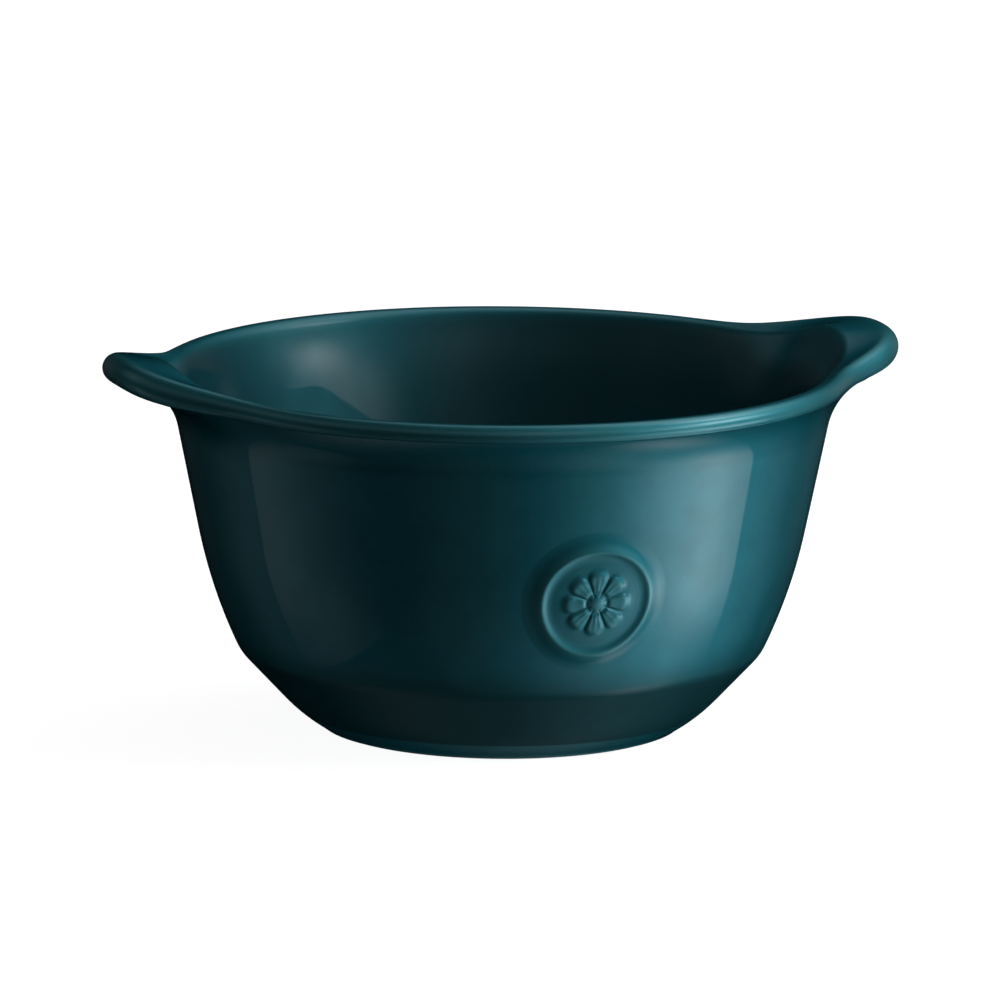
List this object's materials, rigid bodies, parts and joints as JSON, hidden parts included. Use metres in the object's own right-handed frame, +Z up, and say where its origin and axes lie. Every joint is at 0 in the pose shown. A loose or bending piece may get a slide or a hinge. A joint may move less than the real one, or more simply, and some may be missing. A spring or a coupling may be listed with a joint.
{
  "type": "onion soup bowl",
  "caption": "Deep round glazed soup bowl with a rolled rim drawn out into a raised lug handle on each side, and a small round medallion on the front.",
  "frame": {"origin": "centre of the foot's rest face, on the table", "axes": "+Z up; X runs through both lugs, +X to the right lug; -Y is the front, where the medallion is"},
  "size_m": [0.1696, 0.145, 0.0813],
  "materials": {
    "teal_glaze": "deep glossy transparent teal glaze over a dark stoneware body, a little lighter where it thins over edges",
    "bare_clay": "unglazed fired clay, matt, fine grained, wiped clean where the bowl rests"
  },
  "bodies": {
    "root": {"bowl_body": "teal_glaze", "rolled_rim": "teal_glaze", "left_lug": "teal_glaze", "right_lug": "teal_glaze", "foot_ring": "bare_clay", "medallion_ring": "teal_glaze", "medallion_rosette": "teal_glaze"}
  },
  "joints": []
}
